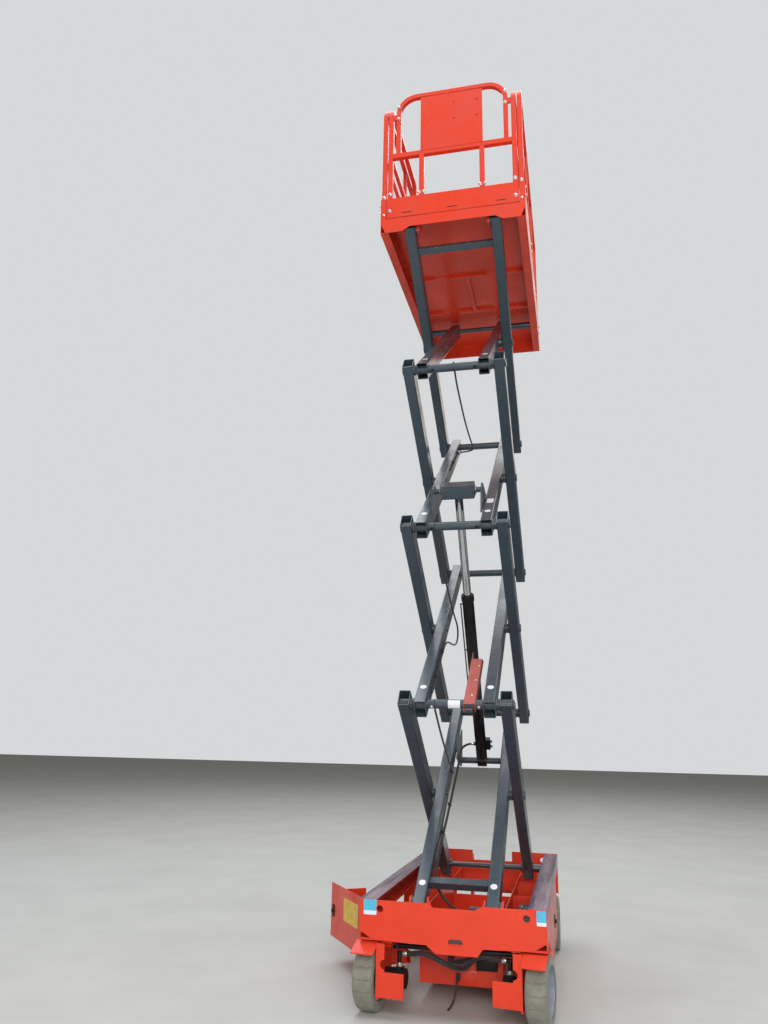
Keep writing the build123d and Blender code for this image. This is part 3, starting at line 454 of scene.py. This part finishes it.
# Black cards drawn as the slots of the toe plate: painted shade of the holes
build("toe_slot_shade_cards", "extension", black, [
    (card, (x, toe_y, deck + 29), front, 78, 7, 3) for x in (-358, 1, 379)])
shapes = sum((bolt((s * 540, guard_y, deck + z), front) for s in (-1, 1) for z in (189, 24)), [])
for s in (-1, 1):
    for y in (-56, 700, 1420, 2146):
        for z in (60, 130):
            shapes += bolt((s * 565, y, deck + z), (s, 0, 0), 17)
build("rail_bolts", "platform", zinc, shapes)
for k in range(1, 4):
    build(f"shaft_bolts_{k}", f"inner_{k + 1}", zinc if k == 1 else black, sum((
        bolt((s * 156, -22.8, rows[k] - 19.5), (0, -0.76, -0.65), 15) for s in (-1, 1)), []))
plate = [(slab, (-36, 170.5, 106), (99, tub_y, 188), 1)]
for x, z in ((-17, 172), (80, 172), (80, 122), (-17, 121)):
    plate += bolt((x, 170.5, z), front, 11)
build("tub_cover", "chassis", red, plate)
# A black rubber pad lying behind the tow slot: a dark sheet that paints the shade seen through the
# slot
build("tow_slot_shade_pad", "chassis", rubber, [(slab, (-45, -226, 420), (95, -76, 423), 1)])
build("strap_boot", "chassis", rubber, [(slab, (-28, 150, 128), (-2, 174.8, 172), 5)])
for s, word in ((-1, "left"), (1, "right")):
    build(f"{word}_king_nut", f"{word}_steer", zinc,
          bolt((s * king_x, front_axle_y, 458), up, 36))

# Blank labels
band_y = plate_y - 0.6
build("front_labels", "chassis", sky, [
    (card, (-491, plate_y, 591), front, 80, 86, 5), (card, (525, plate_y, 590), front, 56, 82, 5)])
build("front_label_bands", "chassis", label, [
    (card, (-491, band_y, 560), front, 78, 22, 3), (card, (525, band_y, 559), front, 54, 19, 3)])
build("shaft_label", "inner_2", label, [(sleeve, (-7, 0, rows[1]), 80, 30.5, math.pi - 0.9, 2.0)])
top = (0, -sine, cosine)
for k in range(4):
    build(f"arm_stickers_{k + 1}", f"inner_{k + 1}", label, [
        (card, inner_point(k, s * 226, 112, 60), top, 44, 44, 21) for s in (-1, 1)])
build("long_arm_sticker", "inner_3", label, [(card, inner_point(2, 227, 330, 60), top, 48, 90, 4)])
swung = Vector((-math.cos(swing), -math.sin(swing), 0))
out = Vector((-math.sin(swing), math.cos(swing), 0))
door = tray_hinge + 7 * swung
build("tray_sticker", "left_tray_body", yellow, [
    (card, door + 472 * out + Vector((0, 0, 390)), swung, 290, 150, 8)])


# Protective film over the chassis rails: on top, and down the outside
inside, flank, outside, film_y0, film_y1 = 449, 554.6, 556.2, -226, 2160
build("rail_film", "chassis", film, [shape for s in (-1, 1) for shape in (
    (slab, (min(s * inside, s * outside), film_y0, 634.6),
     (max(s * inside, s * outside), film_y1, 636.4), 0.8),
    (slab, (min(s * flank, s * outside), film_y0, 575),
     (max(s * flank, s * outside), film_y1, 635), 0.6))])

# Fittings of the hoses and clips of the cables
for word, x, y, aim in (("left", -330.5, -118.5, (0.993, -0.122, 0)),
                        ("right", 330.5, -101.5, (-0.993, 0.122, 0))):
    build(f"{word}_hose_fittings", f"{word}_steer", zinc, [
        (disc, (x, y, 254), up, 21, 14, None, 6, 1.0),
        (disc, (x, y, 268), up, 17, 8, None, 24, 0.8),
        (disc, Vector((x, y, 326)) + 22 * Vector(aim), aim, 17.5, 26, 16.6, 24, 1.0)])
for name, body, spot in (("barrel_ferrule", "cylinder_barrel", (-56, 1409, 1538)),
                         ("block_ferrule", "chassis", (64, 147, 516))):
    build(name, body, zinc, [(disc, spot, (-1, 0, 0), 12, 24, 11, 24, 0.8)])
build("hose_grommets", "chassis", rubber, [
    (ring, (70, 174, 247), front, 18, 3.5), (ring, (-61, 174, 256), front, 18, 3.5)])
along = (0, cosine, sine)
arm_face_x, clip_wire, hose_clip_r, cable_clip_r = -187.8, 1.8, 11, 8.6
for k, x, y, z, r in (
        (1, -175, 880, 1098, hose_clip_r), (1, -177, 590, 932, hose_clip_r),
        (2, -181, 300, 1985, cable_clip_r), (2, -180, 590, 2196, cable_clip_r),
        (3, -180.9, 1190, 3881, cable_clip_r), (3, -180.8, 1490, 4079, cable_clip_r)):
    spot = Vector((arm_face_x, y - 20 * sine, z + 20 * cosine))
    build(f"clip_{k}_{y}", f"inner_{k}", black, [
        (ring, (x, y, z), along, r, clip_wire, 24),
        (slab, spot - Vector((0, 7, 9)), spot + Vector((3, 7, 9)), 0.8),
        *bolt(spot + Vector((3, 0, 0)), (1, 0, 0), 9)])
for k, x in ((1, -137), (2, -137), (3, -2)):
    build(f"shaft_clip_{k}", f"inner_{k + 1}", black, [
        (ring, (x, 0, rows[k]), (1, 0, 0), 31.2, clip_wire, 48)])
build("prop_studs", "inner_2", zinc, [
    (disc, spot, (0, -0.468, 0.883), 9, 3, 7, 24, 0.8)
    for spot in ((133, 219, 2063), (133, 18, 1954), (133, -194, 1844))])

# Valves, glands and the connector box
coil = [(disc, (95, 112, 515), front, 16, 30), (disc, (95, 82, 515), front, 8, 8, None, 6, 0.6)]
build("lowering_valve", "chassis", black, coil + [(slab, (103, 117, 205), (232, tub_y, 288), 4)])
build("valve_plugs", "chassis", zinc, sum((
    bolt((x, 112, 455), front, 16) for x in (78, 110)), []))
build("cylinder_caps", "cylinder_barrel", blue, [
    (disc, (78, y, z), (1, 0, 0), 11, 16, 9, 24, 1.2) for y, z in ((1421, 1521), (1395, 1559))])
slant = (0, -0.566775, 0.823873)
build("barrel_gland", "cylinder_barrel", black, [(ring, (0, 656.7, 2632.4), slant, 44, 4, 56)])
gland_y = front_axle_y + steer_arm * math.cos(steered)
build("steering_glands", "chassis", zinc, [
    (ring, (s * 123, gland_y, 330), (1, 0, 0), 22, 5, 40) for s in (-1, 1)])
build("beam_collars", "cylinder_rod", zinc, [
    (ring, inner_point(2, s * 130, 330, 150), (1, 0, 0), 28.5, 3, 40) for s in (-1, 1)])
build("hole_rims", "chassis", red, [(ring, (x, -234, 583), front, 22, 3, 40) for x in (-430, 440)])
build("step_grips", "chassis", rubber, [
    (slab, (-150, y, z), (150, y + 7, z + 3), 0.8)
    for z in (319.8, 539.8) for y in range(2204, 2256, 12)])

# What the trays hold: battery lids, posts and straps, tank cap, motor bands and charger fins
lids, posts, straps = [], [], []
lid_z, last_battery = 443, 800
for y in (215, 410, 605, last_battery):
    lids.append((slab, (315, y - 2, 428), (532, y + 182, lid_z), 3))
    lids += [(disc, (350 + 30 * i, y + 120, lid_z), up, 11, 5, 9, 20, 1) for i in range(6)]
    posts += [(disc, (x, y + 30, lid_z), up, 9, 14, 8, 20, 1) for x in (340, 506)]
    if y < last_battery:
        straps.append((slab, (500, y + 24, 449), (512, y + 231, 453), 1.2))
build("battery_lids", "right_tray_body", case, lids)
build("battery_posts", "right_tray_body", zinc, posts)
build("battery_straps", "right_tray_body", rubber, straps)
opened = (Matrix.Translation(tray_hinge) @ Matrix.Rotation(swing, 4, "Z")
          @ Matrix.Translation(-tray_hinge))
power = [(slab, (-528, 232, 412), (-314, 538, 420), 2),
         (disc, (-420, 300, 420), up, 26, 16, 23, 32, 2)]
power += [(ring, (-445, y, 223), front, 52.5, 3, 56) for y in (622, 705, 788)]
power += [(slab, (-502, y, 313), (-330, y + 4, 328), 1) for y in range(882, 1002, 13)]
build("power_unit_details", "left_tray_body", black, power, opened)
build("pump_posts", "left_tray_body", zinc, [
    (disc, (-445, y, 274), up, 6, 16, 5, 20, 0.6) for y in (660, 745)], opened)
for s, word, move in ((-1, "left", opened), (1, "right", None)):
    build(f"{word}_tray_latch", f"{word}_tray_body", black, [
        (slab, (s * 558 - 3.2, 990, 300), (s * 558 + 3.2, 1030, 380), 2),
        (disc, (s * 561, 1010, 340), (s, 0, 0), 14, 10, 12, 32, 1.5)], move)


# Tyres with zigzag treads
def tyre(name, body, centre, turn):
    """Rounded tyre with slanted grooves, spun and cut in mesh code."""
    steps, pitch, shoulder_x, tread_r, groove_depth = 108, 6, 58, 184, 5.0
    mesh = bmesh.new()
    profile = [(-63, 135), (-63, 172), (-56, 184), (-44, 190), (-22, 190.4), (0, tyre_r),
               (22, 190.4), (44, 190), (56, 184), (63, 172), (63, 135)]
    verts = [mesh.verts.new((x, 0, r)) for x, r in profile]
    edges = [mesh.edges.new(pair) for pair in zip(verts, verts[1:])]
    bmesh.ops.spin(mesh, geom=verts + edges, cent=(0, 0, 0), axis=(1, 0, 0), angle=math.tau,
                   steps=steps, use_merge=True)
    slant = {-44: 0.0, -22: 0.035, 0: 0.0, 22: 0.035, 44: 0.0, -56: -0.02, 56: -0.02}
    for vert in mesh.verts:
        shift = next((v for x, v in slant.items() if abs(vert.co.x - x) < 1), 0)
        vert.co = Matrix.Rotation(shift, 3, "X") @ vert.co
    grooves = []
    for face in mesh.faces:
        middle = face.calc_center_median()
        step = math.atan2(middle.y, middle.z) / math.tau * steps
        on_tread = abs(middle.x) < shoulder_x and math.hypot(middle.y, middle.z) > tread_r
        if on_tread and int(step + 200) % pitch == 0:
            grooves.append(face)
    # Normals outward first, or the grooves would stand out
    bmesh.ops.recalc_face_normals(mesh, faces=mesh.faces[:])
    bmesh.ops.inset_region(mesh, faces=grooves, thickness=2.0, depth=-groove_depth,
                           use_even_offset=True)
    rows_in = [v for v in mesh.verts if abs(v.co.x) > 62 and math.hypot(v.co.y, v.co.z) < 136]
    for vert in rows_in:
        vert.co.x *= 0.985
    matrix = Matrix.Translation(centre) @ Matrix.Rotation(turn, 4, "Z")
    bmesh.ops.transform(mesh, matrix=matrix, verts=mesh.verts[:])
    for vert in mesh.verts:
        vert.co = place(*vert.co)
    obj = show(mesh, bpy.data.meshes.new(name), name, body, tread, 40)


def hub(name, body, centre, turn, side):
    """Wheel nuts and a dished hub cap on the rim."""
    count, circle = 8, 88
    axis = Vector((side * math.cos(turn), side * math.sin(turn), 0))
    rise = Vector(up)
    flat = axis.cross(rise)
    face = Vector(centre) + 2 * axis
    nuts = []
    for i in range(count):
        a = math.tau * i / count
        nuts += bolt(face + circle * (math.cos(a) * rise + math.sin(a) * flat), axis, 21)
    build(f"{name}_nuts", body, zinc, nuts)
    build(f"{name}_cap", body, black, [
        (disc, Vector(centre) + 22 * axis, axis, 40, 10, 30, 40, 3.0)])


for side, word in ((-1, "left"), (1, "right")):
    steered_middle = (side * king_x + side * wheel_reach * math.cos(steered),
                      front_axle_y + side * wheel_reach * math.sin(steered), tyre_r)
    fixed_middle = (side * rear_wheel_x, rear_axle_y, tyre_r)
    for axle, middle, turn in (("front", steered_middle, steered), ("rear", fixed_middle, 0)):
        hub(f"{axle}_{word}", f"{axle}_{word}_wheel", middle, turn, side)
        tyre(f"{axle}_{word}_tread", f"{axle}_{word}_wheel", middle, turn)
    for axle in ("front", "rear"):
        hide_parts(f"{axle}_{word}_tyre")

# Floor, backdrop and light
mesh = bmesh.new()
bmesh.ops.create_grid(mesh, x_segments=4, y_segments=4, size=40)
floor_mesh = bpy.data.meshes.new("floor")
mesh.to_mesh(floor_mesh)
mesh.free()
floor = bpy.data.objects.new("floor", floor_mesh)
bpy.context.scene.collection.objects.link(floor)
# Half a millimetre below the tyres
floor.location.z = -0.0005
# Smooth pale concrete
floor_mesh.materials.append(finish("pale_floor", "#BCBEBB", "#B4B6B3", rough=0.85, patch=900,
                                   grain=40, relief=0.02, edge=0.5, shine=0.15))
world = bpy.data.worlds.new("studio")
world.use_nodes = True
bpy.context.scene.world = world
world.node_tree.nodes.clear()
seen = add(world.node_tree, "ShaderNodeLightPath").outputs["Is Camera Ray"]
glow = add(world.node_tree, "ShaderNodeBackground", {"Color": rgb("#E6E4E0"), "Strength": 0.3})
plain = add(world.node_tree, "ShaderNodeBackground", {"Color": rgb("#D6D8DA"), "Strength": 1.0})
both = add(world.node_tree, "ShaderNodeMixShader", {
    0: seen, 1: glow.outputs[0], 2: plain.outputs[0]})
add(world.node_tree, "ShaderNodeOutputWorld", {"Surface": both.outputs[0]})


def lamp(name, spot, target, size, power, colour):
    """A soft area light aimed at a point. Places and sizes are in metres, power in watts."""
    light = bpy.data.lights.new(name, "AREA")
    light.shape = "RECTANGLE"
    light.size, light.size_y = size
    light.energy = power
    light.color = rgb(colour)[:3]
    obj = bpy.data.objects.new(name, light)
    bpy.context.scene.collection.objects.link(obj)
    obj.location = spot
    obj.rotation_euler = (Vector(target) - Vector(spot)).to_track_quat("-Z", "Y").to_euler()


lamp("front_softbox", (2.5, -14, 9), (0.2, 0, 2.5), (7, 5), 820, "#FFF6EC")
lamp("low_fill", (2, -9, 2.4), (0.2, -1, 0.8), (4, 2), 330, "#FFF6EC")
lamp("left_softbox", (-8, -5, 7), (0, 0, 3), (5, 6), 70, "#EAF1FF")
lamp("top_light", (0, 0.5, 13), (0, 0, 0), (13, 14), 1900, "#F4F8FF")
lamp("rear_ceiling", (0, 13, 12), (0, 7, 2), (12, 9), 420, "#FFF4EA")

bpy.context.scene.view_settings.view_transform = "Standard"
